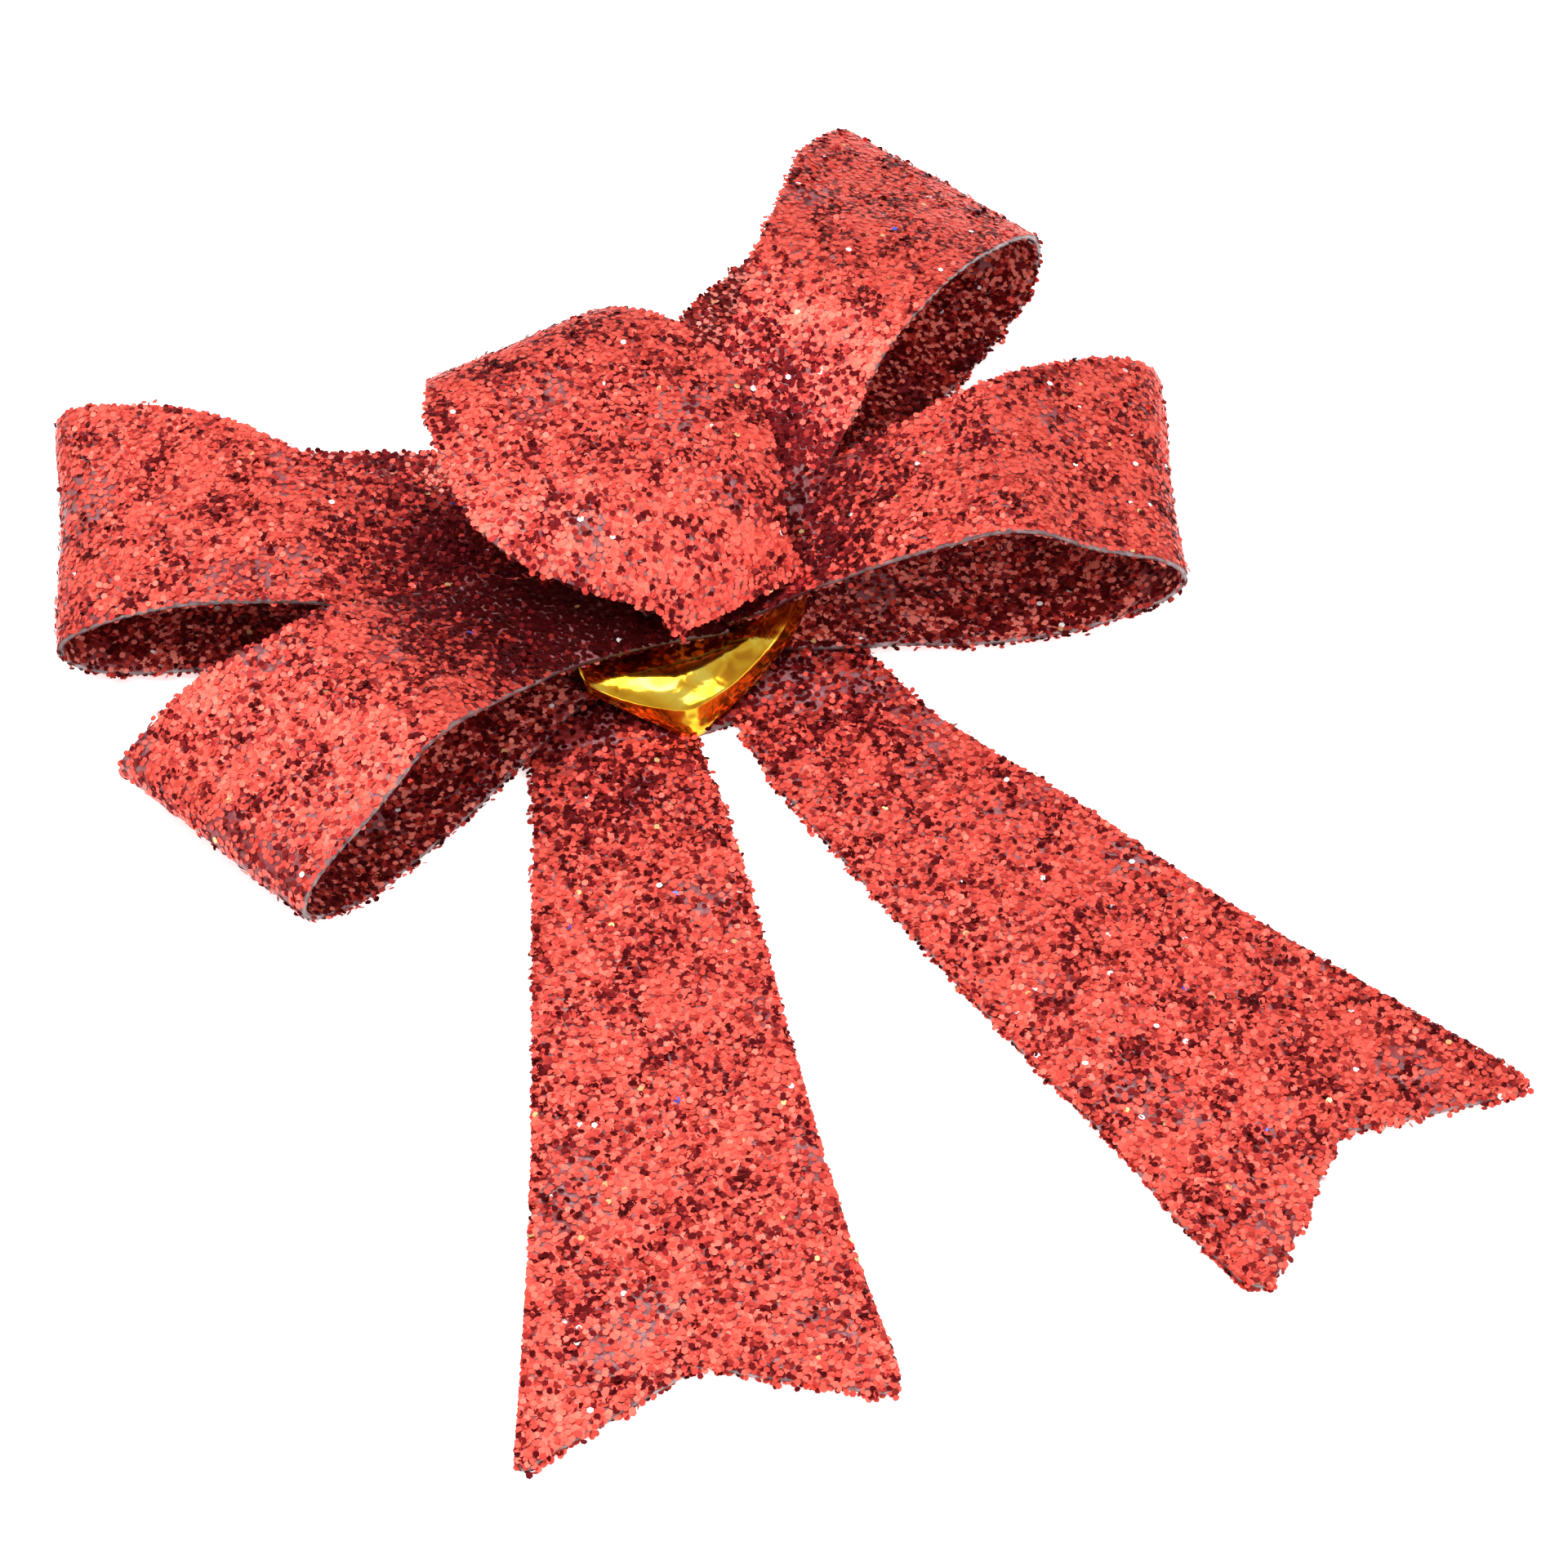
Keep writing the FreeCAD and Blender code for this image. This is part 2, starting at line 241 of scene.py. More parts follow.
ROW_GAP = 0.866         # row to row, as a share of the pitch
ROW_SHIFT = 0.25        # every other row is shifted along by this share of it, the rest back
JITTER = 0.30           # share of the pitch by which a flake strays
SIZES = (0.9, 1.06)     # smallest and largest flake, as shares of FLAKE
MOST_TILT = 65          # degrees
ABOVE = 0.02            # first flakes above the film

# The coats: pitch as a multiple, tilt in degrees and what a cluster adds, lowest and highest lift
COATS = [(1.0, 5, 9, 0.0, 0.10), (1.9, 12, 18, 0.08, 0.26)]
SECOND_SHARE, SECOND_FINE = 0.55, 0.3  # share of the second coat that is there, and its change
# Thin patches: where PATCH makes them start and how fast, most and least share missing
BARE_FROM, BARE_RATE, BARE_MOST, BARE_LEAST = 0.62, 1.6, 0.55, 0.02

# How far clusters, small changes and a steep tilt push a flake towards the dark colours; the clusters' and the
# tilt's pushes are painted shade, the small changes a random tone
CLUMP_PAINTED_SHADE, FINE_DARK, TILT_PAINTED_SHADE, TILT_FROM = 0.16, 0.14, 0.9, 0.35

# The ragged rims: flakes per mm, the share kept, its change, grain and least
RIM_COUNT, RIM_KEEP, RIM_CHANGE, RIM_GRAIN, RIM_LEAST = 9, 0.45, 0.9, 0.8, 0.04
# how far they reach over the edge, as a spread, and how high they sit
RIM_SPREAD, RIM_REACH, RIM_BACK, RIM_DROP = (1.2, 2.6), 0.85, 0.1, (-0.45, 0.4)
# how they lean outwards, how unevenly, and their sizes
RIM_LEAN, RIM_ROUGH, RIM_SIZES = 0.9, 0.35, (0.85, 1.05)
LOWEST = 0.01           # no flake is lower than this above the table

# The shade about the waist: its middle is at minus this in x and y, it reaches further
# towards +X, and it fades out over its last mm
SHADE_BACK, SHADE_STRETCH, SHADE_FADE = 3.0, 0.8, 11.0
# its strength towards -X, from x and y, no less than SHADE_LEAST, and towards +X
SHADE_MIDDLE, SHADE_X, SHADE_Y, SHADE_LOWEST_Y = 0.48, 0.03, 0.026, -14.0
SHADE_LEAST, SHADE_RIGHT = 0.60, 0.95


def scatter(grid, pitch):
    """Places spread over a surface in offset rows with a jitter: shares s and w."""
    lengths = np.linalg.norm(np.diff(grid, axis=0), axis=2).sum(0)
    along = np.linalg.norm(np.diff(grid[:, grid.shape[1] // 2], axis=0), axis=1)
    at = np.concatenate([[0], np.cumsum(along)])
    rows = int(lengths.mean() / (pitch * ROW_GAP))
    widths = np.linalg.norm(np.diff(grid, axis=1), axis=2).sum(1)
    s_all, w_all = [], []
    for k in range(rows):
        where = (k + 0.5) / rows * at[-1]
        s = np.interp(where, at, np.linspace(0, 1, len(at)))
        width = np.interp(s, np.linspace(0, 1, len(widths)), widths)
        count = max(1, int(round(width / pitch)))
        w = (np.arange(count) + 0.5 + ROW_SHIFT * (-1) ** k) / count
        s_all.append(np.full(count, s) + rng.normal(0, JITTER * pitch / at[-1], count))
        w_all.append(w + rng.normal(0, JITTER / count, count))
    return np.concatenate(s_all), np.concatenate(w_all)


def hexagons(centre, normal, size):
    """Vertices of hexagons at the centres, each turned at random about its normal."""
    count = len(centre)
    ref = np.where(np.abs(normal[:, 2:3]) < 0.9, [[0, 0, 1.0]], [[1.0, 0, 0]])
    e1 = np.cross(normal, ref)
    e1 /= np.linalg.norm(e1, axis=1)[:, None]
    e2 = np.cross(normal, e1)
    turn = rng.uniform(0, math.pi / 3, count)[:, None] + np.arange(6) * math.pi / 3
    c, s = np.cos(turn) * size[:, None], np.sin(turn) * size[:, None]
    return centre[:, None] + e1[:, None] * c[..., None] + e2[:, None] * s[..., None]


def tilted(normal, angle):
    """Each normal leant over by its own angle, in a random direction."""
    lean = rng.normal(size=normal.shape)
    lean -= (lean * normal).sum(1)[:, None] * normal
    lean /= np.linalg.norm(lean, axis=1)[:, None] + 1e-9
    return normal * np.cos(angle)[:, None] + lean * np.sin(angle)[:, None]


# Shares of the flake colours, from bright to near black, then white, gold and blue
OPEN = [0.40, 0.28, 0.14, 0.09, 0.055, 0.032, 0.0016, 0.0012, 0.0001]
SHADED = [0.23, 0.11, 0.09, 0.17, 0.23, 0.17, 0.002, 0.001, 0.0]


def colours(count, shares, push):
    """A colour for each flake. push above 0 moves it towards the dark ones."""
    edges = np.cumsum(shares[:6])
    pick = np.clip(rng.uniform(0, 1, count) * edges[-1] + push * edges[-1], 0, edges[-1] - 1e-6)
    slot = np.searchsorted(edges, pick)
    odd = rng.uniform(0, 1, count)
    at = 0.0
    for k in (6, 7, 8):
        slot[(odd >= at) & (odd < at + shares[k])] = k
        at += shares[k]
    return slot


def near_waist(p, strength, radius):
    """How much the knot's shade about the waist darkens the flakes at p."""
    right = p[:, 0] > 0
    stretch = np.where(right, SHADE_STRETCH, 1.0)
    away = np.hypot(stretch * p[:, 0] + SHADE_BACK, p[:, 1] + SHADE_BACK)
    side = SHADE_MIDDLE - SHADE_X * p[:, 0] - SHADE_Y * np.maximum(p[:, 1], SHADE_LOWEST_Y)
    side = np.where(right, SHADE_RIGHT, np.clip(side, SHADE_LEAST, 1.0))
    return strength * side * np.clip((radius - away) / SHADE_FADE, 0, 1)


def laid(grid, nn, layer, shares, dark, pitch, shade):
    """One coat of flakes lying on a surface: their corners and colours."""
    wider, tilt, clump_tilt, low, high = COATS[layer]
    s, w = scatter(grid, pitch * wider)
    p, n = at_grid(grid, s, w), at_grid(nn, s, w)
    n /= np.linalg.norm(n, axis=1)[:, None]
    clump, fine, bare = CLUMP(p), FINE(p), PATCH(p)
    missing = np.clip((bare - BARE_FROM) * BARE_RATE, 0, BARE_MOST) + BARE_LEAST
    keep = rng.uniform(0, 1, len(p)) > missing
    if layer:
        keep = rng.uniform(0, 1, len(p)) < SECOND_SHARE + SECOND_FINE * fine
    p, n, clump, fine = p[keep], n[keep], clump[keep], fine[keep]
    rough = np.clip(0.5 + 0.5 * clump, 0, 1)
    spread = tilt + clump_tilt * rough
    angle = np.radians(np.minimum(np.abs(rng.normal(0, 1, len(p))) * spread, MOST_TILT))
    lift = SHEET / 2 + ABOVE + rng.uniform(low, high, len(p))
    centre = p + n * lift[:, None]
    # Painted shade: a steep tilt, a cluster and the waist's shade push a flake towards the dark colours
    push = dark + CLUMP_PAINTED_SHADE * clump + FINE_DARK * fine + TILT_PAINTED_SHADE * np.maximum(angle - TILT_FROM, 0)
    push = push + near_waist(p, *shade)
    corners = hexagons(centre, tilted(n, angle), FLAKE * rng.uniform(*SIZES, len(p)))
    return corners, colours(len(p), shares, push)


def ragged(grid, nn, column, strength, shares, dark):
    """Flakes clumped over an edge. column is 0 or -1, or 2 for the last row."""
    rim = grid[:, column] if column in (0, -1) else grid[-1]
    inward = grid[:, 1 if column == 0 else -2] if column in (0, -1) else grid[-2]
    rim_n = nn[:, column] if column in (0, -1) else nn[-1]
    out = rim - inward
    out /= np.linalg.norm(out, axis=1)[:, None] + 1e-9
    length = np.linalg.norm(np.diff(rim, axis=0), axis=1).sum()
    count = int(length * RIM_COUNT * strength)
    t = rng.uniform(0, len(rim) - 1.001, count)
    i = t.astype(int)
    f = (t - i)[:, None]
    p = rim[i] * (1 - f) + rim[i + 1] * f
    o = out[i]
    n = rim_n[i]
    keep = rng.uniform(0, 1, count) < np.clip(RIM_KEEP + RIM_CHANGE * FINE(p * RIM_GRAIN), RIM_LEAST, 1)
    p, o, n = p[keep], o[keep], n[keep]
    reach = rng.beta(*RIM_SPREAD, len(p)) * RIM_REACH - RIM_BACK
    drop = rng.uniform(*RIM_DROP, len(p))
    centre = p + o * reach[:, None] + n * drop[:, None]
    facing = n + o * rng.uniform(0, RIM_LEAN, len(p))[:, None] + rng.normal(0, RIM_ROUGH, p.shape)
    facing /= np.linalg.norm(facing, axis=1)[:, None]
    corners = hexagons(centre, facing, FLAKE * rng.uniform(*RIM_SIZES, len(p)))
    return corners, colours(len(p), shares, np.full(len(p), dark))


def flake_object(name, corners, slots, materials):
    """One object of loose hexagons."""
    count = len(corners)
    me = bpy.data.meshes.new(name)
    me.vertices.add(count * 6)
    me.vertices.foreach_set("co", (corners.reshape(-1) * MM).astype(np.float32))
    me.loops.add(count * 6)
    me.loops.foreach_set("vertex_index", np.arange(count * 6, dtype=np.int32))
    me.polygons.add(count)
    me.polygons.foreach_set("loop_start", np.arange(0, count * 6, 6, dtype=np.int32))
    me.update(calc_edges=True)
    for m in materials:
        me.materials.append(m)
    me.polygons.foreach_set("material_index", slots.astype(np.int32))
    me.update()
    ob = bpy.data.objects.new(name, me)
    bpy.context.scene.collection.objects.link(ob)
    return ob


NO_SHADE = (0.0, 25.0)  # strength and radius


def coat(name, patches, materials, shade=NO_SHADE):
    """Flakes over patches of (grid, side, shares, dark push, pitch, clumped rims).

    shade is the strength and the radius of the shade about the waist.
    """
    found = []
    for grid, side, shares, dark, pitch, rims in patches:
        nn = normals(grid) * side
        for layer in (0, 1):
            found.append(laid(grid, nn, layer, shares, dark, pitch, shade))
        for column, strength in rims:
            found.append(ragged(grid, nn, column, strength, shares, dark))
    corners = np.concatenate([f[0] for f in found])
    slots = np.concatenate([f[1] for f in found])
    corners[..., 2] = np.maximum(corners[..., 2], LOWEST)
    return [flake_object(name, corners, slots, materials)]


# ---------- materials ----------
def new_material(name):
    """A new material with its node tree and its shader."""
    mat = bpy.data.materials.new(name)
    mat.use_nodes = True
    nt = mat.node_tree
    return mat, nt, nt.nodes["Principled BSDF"]


def node(nt, kind, **inputs):
    """A new node with the inputs set; _ stands for a space in their names."""
    n = nt.nodes.new(kind)
    for key, value in inputs.items():
        n.inputs[key.replace("_", " ")].default_value = value
    return n


def ramp(nt, source, stops):
    """A colour ramp driven by source, from (position, colour) pairs."""
    n = nt.nodes.new("ShaderNodeValToRGB")
    nt.links.new(source, n.inputs["Fac"])
    e = n.color_ramp.elements
    e[0].position, e[0].color = stops[0][0], (*stops[0][1], 1)
    e[1].position, e[1].color = stops[-1][0], (*stops[-1][1], 1)
    for at, colour in stops[1:-1]:
        x = e.new(at)
        x.color = (*colour, 1)
    return n


def ribbon_material():
    """Red-tinted clear PVC under the flakes: small cells of glitter and greyish patches."""
    mat, nt, p = new_material("ribbon_pvc")
    coord = nt.nodes.new("ShaderNodeTexCoord")
    cells = node(nt, "ShaderNodeTexVoronoi", Scale=1900.0)
    patches = node(nt, "ShaderNodeTexNoise", Scale=130.0, Detail=3.0)
    nt.links.new(coord.outputs["Object"], cells.inputs["Vector"])
    nt.links.new(coord.outputs["Object"], patches.inputs["Vector"])
    red = ramp(
        nt,
        cells.outputs["Distance"],
        [(0.0, (0.36, 0.03, 0.03)), (0.5, (0.20, 0.02, 0.022)), (1.0, (0.05, 0.006, 0.01))],
    )
    tint = ramp(nt, patches.outputs["Fac"], [(0.42, (0.26, 0.02, 0.024)), (0.60, (0.37, 0.17, 0.19))])
    mix = nt.nodes.new("ShaderNodeMix")
    mix.data_type = "RGBA"
    mix.inputs["Factor"].default_value = 0.55
    nt.links.new(red.outputs["Color"], mix.inputs["A"])
    nt.links.new(tint.outputs["Color"], mix.inputs["B"])
    nt.links.new(mix.outputs["Result"], p.inputs["Base Color"])
    bump = node(nt, "ShaderNodeBump", Strength=0.5, Distance=0.0002)
    nt.links.new(cells.outputs["Distance"], bump.inputs["Height"])
    nt.links.new(bump.outputs["Normal"], p.inputs["Normal"])
    p.inputs["Roughness"].default_value = 0.35
    return mat


def edge_material():
    """The cut edge of the clear PVC: grey, a little red showing through, with painted shade darkening it near
    the waist.
    """
    mat, nt, p = new_material("pvc_cut_edge")
    coord = nt.nodes.new("ShaderNodeTexCoord")
    noise = node(nt, "ShaderNodeTexNoise", Scale=900.0, Detail=4.0)
    nt.links.new(coord.outputs["Object"], noise.inputs["Vector"])
    tone = ramp(
        nt,
        noise.outputs["Fac"],
        [(0.35, (0.10, 0.055, 0.06)), (0.55, (0.22, 0.15, 0.155)), (0.72, (0.38, 0.31, 0.31))],
    )
    # Painted shade: the edge is dark red within 13 mm of a point by the waist and fades to its grey by 18 mm
    away = nt.nodes.new("ShaderNodeVectorMath")
    away.operation = "DISTANCE"
    away.inputs[1].default_value = (0.0, -0.008, 0.006)
    nt.links.new(coord.outputs["Object"], away.inputs[0])
    shade = node(nt, "ShaderNodeMapRange", From_Min=0.013, From_Max=0.018)
    nt.links.new(away.outputs["Value"], shade.inputs["Value"])
    mix = nt.nodes.new("ShaderNodeMix")
    mix.data_type = "RGBA"
    mix.inputs["A"].default_value = (0.045, 0.008, 0.010, 1)
    nt.links.new(shade.outputs["Result"], mix.inputs["Factor"])
    nt.links.new(tone.outputs["Color"], mix.inputs["B"])
    nt.links.new(mix.outputs["Result"], p.inputs["Base Color"])
    p.inputs["Roughness"].default_value = 0.3
    return mat


def gold_material():
    """Metallised film: bright gold, with painted shade making it browner in the hollows of its creases."""
    mat, nt, p = new_material("gold_film")
    coord = nt.nodes.new("ShaderNodeTexCoord")
    folds = node(nt, "ShaderNodeTexNoise", Scale=220.0, Detail=2.0, Distortion=1.5)
    nt.links.new(coord.outputs["Object"], folds.inputs["Vector"])
    # Painted shade: the noise that bumps the film also colours it, brown in the bumps' hollows
    tone = ramp(
        nt,
        folds.outputs["Fac"],
        [(0.34, (0.62, 0.26, 0.015)), (0.5, (0.90, 0.50, 0.03)), (0.66, (1.0, 0.74, 0.10))],
    )
    nt.links.new(tone.outputs["Color"], p.inputs["Base Color"])
    bump = node(nt, "ShaderNodeBump", Strength=0.16, Distance=0.0006)
    nt.links.new(folds.outputs["Fac"], bump.inputs["Height"])
    nt.links.new(bump.outputs["Normal"], p.inputs["Normal"])
    p.inputs["Metallic"].default_value = 1.0
    p.inputs["Roughness"].default_value = 0.12
    return mat


def glue_material():
    """Cloudy hot-melt glue."""
    mat, nt, p = new_material("hot_melt_glue")
    coord = nt.nodes.new("ShaderNodeTexCoord")
    cloud = node(nt, "ShaderNodeTexNoise", Scale=500.0, Detail=5.0)
    nt.links.new(coord.outputs["Object"], cloud.inputs["Vector"])
    tone = ramp(nt, cloud.outputs["Fac"], [(0.3, (0.62, 0.58, 0.48)), (0.7, (0.86, 0.83, 0.75))])
    nt.links.new(tone.outputs["Color"], p.inputs["Base Color"])
    p.inputs["Roughness"].default_value = 0.45
    return mat


def flake_material(name, colour, metallic, rough):
    """One even colour of flake. A coat's pattern comes from mixing single flakes of several."""
    mat, nt, p = new_material(name)
    p.inputs["Base Color"].default_value = (*colour, 1)
    p.inputs["Metallic"].default_value = metallic
    p.inputs["Roughness"].default_value = rough
    return mat


# The six reds, salmon to dark maroon, are partly the flakes' own tones and partly painted light: the salmon
# stands for flakes catching the light, the darker reds for flakes in shade
FLAKES = [
    flake_material("flake_salmon", (0.95, 0.130, 0.090), 0.65, 0.45),
    flake_material("flake_light_red", (0.84, 0.088, 0.062), 0.70, 0.45),
    flake_material("flake_red", (0.60, 0.050, 0.038), 0.75, 0.45),
    flake_material("flake_deep_red", (0.30, 0.018, 0.016), 0.80, 0.45),
    flake_material("flake_maroon", (0.20, 0.007, 0.008), 0.85, 0.45),
    flake_material("flake_dark_maroon", (0.115, 0.003, 0.005), 0.88, 0.50),
    flake_material("flake_white", (0.95, 0.92, 0.92), 0.10, 0.25),
    flake_material("flake_gold", (0.85, 0.52, 0.22), 0.50, 0.28),
    flake_material("flake_blue", (0.05, 0.12, 0.80), 0.30, 0.28),
]
# Painted highlight: inside the loops and the knot a paler, less metallic red takes the salmon's place, standing
# in for flakes catching the light that comes in at the open sides
INNER_FLAKES = [flake_material("flake_painted_glint", (1.0, 0.26, 0.20), 0.3, 0.35)] + FLAKES[1:]
PVC, CUT, GOLD, GLUE = ribbon_material(), edge_material(), gold_material(), glue_material()

# ---------- the loops ----------
# Each station: near edge r, q, z and far edge r, q, z. The folded-back layer comes
# first, from its end at the waist out to the fold, then the base layer back in.
lower_right = Loop(-20, -0.1)
LOWER_RIGHT = [
    (8.6, -13.2, LOWER_END_Z, 2.4, -5.5, LOWER_END_Z),
    (12.3, -12.8, 7.3, 8.0, -3.2, 7.5),
    (16.0, -12.1, 8.9, 14.5, -0.6, 9.2),
    (20.0, -12.0, 10.4, 20.0, 1.9, 10.8),
    (24.3, -12.0, 11.9, 25.0, 3.5, 12.2),
    (28.2, -12.0, 13.1, 29.8, 5.4, 13.5),
    (32.0, -12.0, 14.1, 34.0, 6.9, 14.2),
    (36.0, -12.0, 13.8, 38.2, 9.3, 12.9),
    (40.0, -12.0, 12.1, 42.4, 11.6, 11.3),
    (44.0, -12.0, 10.5, 46.0, 12.3, 10.6),
    (46.8, -12.0, 9.3, 48.8, 12.4, 9.6),
    (48.4, -12.0, 8.0, 50.0, 12.4, 8.3),
    (48.7, -12.0, 6.6, 50.3, 12.4, 6.9),
    (47.4, -12.0, 4.7, 49.2, 12.4, 5.0),
    (43.6, -12.0, 2.8, 45.4, 12.3, 3.0),
    (38.5, -12.3, 1.5, 39.5, 12.2, 1.7),
    (32.0, -12.6, 1.05, 32.0, 12.0, 1.2),
    (24.0, -12.5, 1.2, 24.0, 12.0, 1.35),
    (12.0, -12.0, UNDER_Z, 12.0, 12.0, UNDER_Z),
]
upper_left = Loop(-22, 0.7)
UPPER_LEFT = [
    (-5.0, -13.4, UPPER_END_Z, -2.0, -5.5, UPPER_END_Z),
    (-10.0, -12.5, 6.0, -9.0, -0.5, 6.2),
    (-15.0, -12.0, 6.9, -15.4, 2.6, 7.1),
    (-20.0, -12.0, 8.0, -22.5, 4.1, 8.4),
    (-24.2, -12.0, 8.9, -26.9, 5.8, 9.3),
    (-28.0, -12.0, 9.5, -32.2, 8.9, 9.8),
    (-33.0, -12.0, 9.75, -36.8, 11.0, 10.0),
    (-38.0, -12.0, 9.5, -41.0, 12.0, 10.1),
    (-42.6, -12.0, 8.3, -44.8, 12.2, 10.2),
    (-46.0, -12.0, 6.8, -48.0, 12.4, 9.9),
    (-48.1, -12.0, 5.3, -49.8, 12.5, 8.6),
    (-48.4, -12.0, 3.7, -50.0, 12.5, 6.9),
    (-47.0, -12.0, 2.1, -48.6, 12.5, 5.0),
    (-43.8, -12.0, 1.15, -44.6, 12.5, 3.6),
    (-38.0, -12.0, 0.95, -38.0, 12.6, 2.9),
    (-30.0, -12.0, 1.1, -29.0, 12.9, 2.5),
    (-21.0, -12.0, 1.3, -21.0, 13.0, 2.4),
    (-11.0, -12.0, UNDER_Z, -11.0, 12.4, UNDER_Z + 0.3),
]
upper_right = Loop(32, -1.6)
UPPER_RIGHT = [
    (-2.0, -13.4, UPPER_END_Z, 3.0, -5.0, UPPER_END_Z),
    (6.0, -12.6, 6.0, 8.0, -2.6, 6.6),
    (13.0, -12.0, 8.2, 12.6, -0.4, 9.4),
    (18.5, -11.8, 11.0, 17.9, 1.5, 13.0),
    (22.8, -11.6, 13.4, 23.9, 2.9, 15.4),
    (26.2, -11.8, 15.4, 28.3, 4.5, 16.2),
    (30.5, -12.0, 16.1, 34.8, 6.8, 15.7),
    (35.0, -12.0, 15.9, 40.8, 9.1, 14.2),
    (40.0, -12.0, 14.7, 45.6, 11.2, 12.2),
    (44.5, -12.0, 12.9, 50.2, 12.2, 10.4),
    (48.6, -12.0, 10.8, 54.0, 12.3, 9.0),
    (51.3, -12.0, 8.7, 56.2, 12.3, 7.7),
    (52.3, -12.0, 6.4, 56.6, 12.4, 6.0),
    (51.8, -12.0, 3.9, 55.4, 12.5, 3.9),
    (49.8, -12.0, 2.0, 52.0, 12.7, 2.6),
    (45.5, -12.0, 1.3, 46.5, 13.0, 2.5),
    (38.0, -12.0, 1.1, 38.0, 13.2, 2.8),
    (30.0, -12.0, 1.6, 30.0, 13.2, 3.2),
    (22.0, -12.0, 2.3, 22.0, 12.8, 3.0),
    (11.0, -12.0, OVER_Z, 11.0, 12.2, OVER_Z),
]
lower_left = Loop(26, 2.8)
LOWER_LEFT = [
    (-5.2, -18.6, LOWER_END_Z - 0.35, -1.6, -8.4, LOWER_END_Z),
    (-12.2, -14.2, 6.7, -8.6, -4.4, 7.2),
    (-19.2, -12.1, 8.6, -16.0, -0.5, 8.6),
    (-22.0, -12.0, 9.6, -20.5, 2.0, 9.8),
    (-25.6, -12.0, 11.1, -25.1, 4.0, 11.3),
    (-29.2, -12.0, 12.3, -30.1, 5.7, 12.8),
    (-33.0, -12.0, 13.2, -35.2, 7.0, 12.6),
    (-36.4, -12.0, 13.2, -39.7, 9.1, 11.2),
    (-40.0, -12.0, 12.0, -43.0, 10.0, 9.8),
    (-43.6, -12.0, 11.0, -45.6, 10.5, 8.4),
    (-47.2, -12.0, 10.0, -47.6, 10.9, 7.3),
    (-49.8, -12.0, 8.6, -48.6, 11.3, 6.1),
    (-50.7, -12.0, 7.0, -48.5, 11.6, 4.9),
    (-50.0, -12.0, 5.4, -47.0, 11.8, 3.5),
    (-47.6, -12.0, 3.7, -44.0, 11.9, 2.4),
    (-44.2, -12.0, 2.2, -40.0, 12.0, 1.7),
    (-37.0, -12.0, 1.2, -34.0, 12.0, 1.5),
    (-31.0, -12.0, 1.2, -29.0, 12.0, 1.8),
    (-24.0, -12.0, 1.8, -23.0, 12.0, 2.3),
    (-11.0, -12.0, OVER_Z, -11.0, 12.0, OVER_Z),
]


STRIP_ACROSS = 26       # steps across a strip's mesh


def strip_grid(right, right_table, left, left_table):
    """A whole strip, from its right-hand end round both folds to its left-hand end."""
    rows = right.rows(right_table) + list(reversed(left.rows(left_table)))
    return ruled(rows, STRIP_ACROSS)


under = wavy(strip_grid(lower_right, LOWER_RIGHT, upper_left, UPPER_LEFT))
over = wavy(strip_grid(upper_right, UPPER_RIGHT, lower_left, LOWER_LEFT))

# ---------- the tails ----------
TAIL_LONG, TAIL_ACROSS = 96, 48
WAIST_STEPS = 30
TAIL_LIFT = 0.55        # middle of a tail above the table, where a point names no height


def edge_line(points):
    """A smooth edge through points, whose height may be left out."""
    return smooth([(p + (TAIL_LIFT,))[:3] for p in points], STEP)


right_inner = edge_line([
    (1.6, -21.5, 0.6), (2.1, -30.2, 0.5), (5.0, -47.1), (8.0, -63.1), (10.5, -74.6),
    (11.6, -82.8), (13.0, -89.0, 0.8),
])
right_outer = edge_line([
    (15.2, -17.5, 0.6), (17.8, -28.6, 0.5), (23.3, -40.6), (29.9, -56.6), (36.9, -70.7), (42.1, -81.5, 1.0),
])
right_end = np.array([
    (13.0, -89.0, 0.8), (13.6, -90.0, 0.8), (14.6, -90.4, 0.8), (15.7, -89.9, 0.8), (26.4, -81.2, 1.2),
    (27.0, -81.0, 1.2), (41.4, -83.6, 1.1), (42.4, -83.2, 1.1), (42.6, -82.4, 1.1), (42.1, -81.5, 1.0),
])
left_inner = edge_line([
    (-2.4, -21.5, 0.6), (-4.4, -35.4, 0.5), (-6.9, -46.6), (-9.4, -58.0), (-12.0, -70.3),
    (-13.0, -76.4), (-14.1, -84.5),
])
left_outer = edge_line([
    (-16.0, -17.5, 0.6), (-18.2, -24.0, 0.5), (-21.6, -32.1), (-27.8, -47.4), (-33.9, -61.6),
    (-39.9, -74.5), (-42.3, -79.4),
])
left_end = np.array([
    (-42.3, -79.4, 0.55), (-42.7, -80.4, 0.55), (-42.2, -81.0, 0.55), (-41.2, -80.7, 0.55), (-27.8, -78.5, 0.7),
    (-26.6, -78.5, 0.7), (-24.6, -80.4, 0.7), (-16.0, -86.1, 0.6), (-15.1, -86.5, 0.6), (-14.3, -85.8, 0.6),
    (-14.1, -84.5, 0.55),
])
right_start = np.array([right_inner[0], right_outer[0]])
left_start = np.array([left_outer[0], left_inner[0]])
right_tail = coons(right_inner, right_outer, right_start, right_end, TAIL_LONG, TAIL_ACROSS)
left_tail = coons(left_outer, left_inner, left_start, left_end, TAIL_LONG, TAIL_ACROSS)
waist_left, waist_right = (-8.5, 9.0, 0.6), (8.5, 9.0, 0.6)
waist = coons(
    np.array([waist_left, left_outer[0]]),
    np.array([waist_right, right_outer[0]]),
    np.array([waist_left, waist_right]),
    np.array([left_outer[0], left_inner[0], right_inner[0], right_outer[0]]),
    WAIST_STEPS,
    WAIST_STEPS,
)

# ---------- the knot ----------
TURN = math.radians(8)
KNOT_ACROSS = 34


